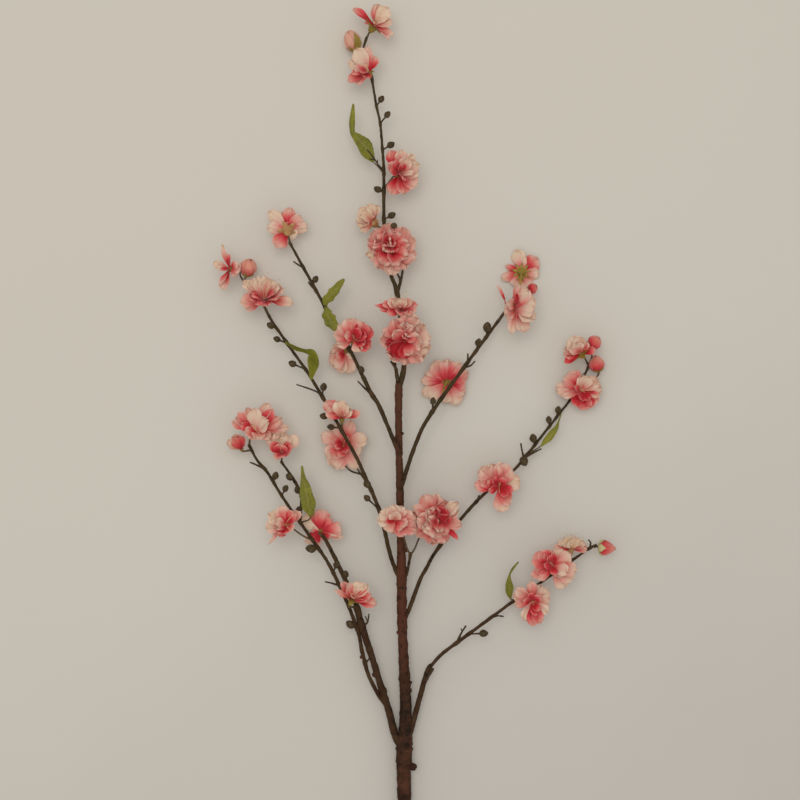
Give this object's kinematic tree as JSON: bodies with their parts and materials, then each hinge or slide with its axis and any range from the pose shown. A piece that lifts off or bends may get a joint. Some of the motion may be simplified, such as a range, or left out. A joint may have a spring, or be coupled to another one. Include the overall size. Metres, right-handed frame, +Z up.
{
  "type": "cherry blossom sprig",
  "caption": "Cut branch of double pink cherry blossom laid flat: a straight dark stem with slender limbs carrying ruffled flowers, buds and narrow leaves.",
  "frame": {"origin": "on the surface it lies on, under the middle of the sprig's box", "axes": "+Y along the stem from its cut end to the tip, +Z up from the surface, +X to the right seen from above"},
  "size_m": [0.3628, 0.7755, 0.0504],
  "materials": {
    "wood": "matt dark brown bark",
    "petal": "matt pink petal, cream at the edge and crimson at the heart",
    "bud": "matt rose bud",
    "leaf": "matt olive green leaf"
  },
  "bodies": {
    "root": {"bud_02": "bud", "bud_16": "bud", "bud_20": "bud", "bud_27": "bud", "bud_29_left": "bud", "bud_29_right": "bud", "bud_36": "bud", "flower_01": "petal", "flower_03": "petal", "flower_06": "petal", "flower_07": "petal", "flower_08": "petal", "flower_10": "petal", "flower_11": "petal", "flower_12": "petal", "flower_13": "petal", "flower_13_low": "petal", "flower_14": "petal", "flower_15": "petal", "flower_17": "petal", "flower_18": "petal", "flower_19": "petal", "flower_21": "petal", "flower_22": "petal", "flower_23": "petal", "flower_24": "petal", "flower_25": "petal", "flower_26": "petal", "flower_27": "petal", "flower_28": "petal", "flower_29": "petal", "flower_30": "petal", "flower_31": "petal", "flower_32": "petal", "flower_33": "petal", "flower_34": "petal", "flower_35": "petal", "leaf_a": "leaf", "leaf_a_low": "leaf", "leaf_b": "leaf", "leaf_c": "leaf", "leaf_e": "leaf", "leaf_f": "leaf", "leaf_top": "leaf", "petal_loose": "petal", "wood": "wood"}
  },
  "joints": []
}
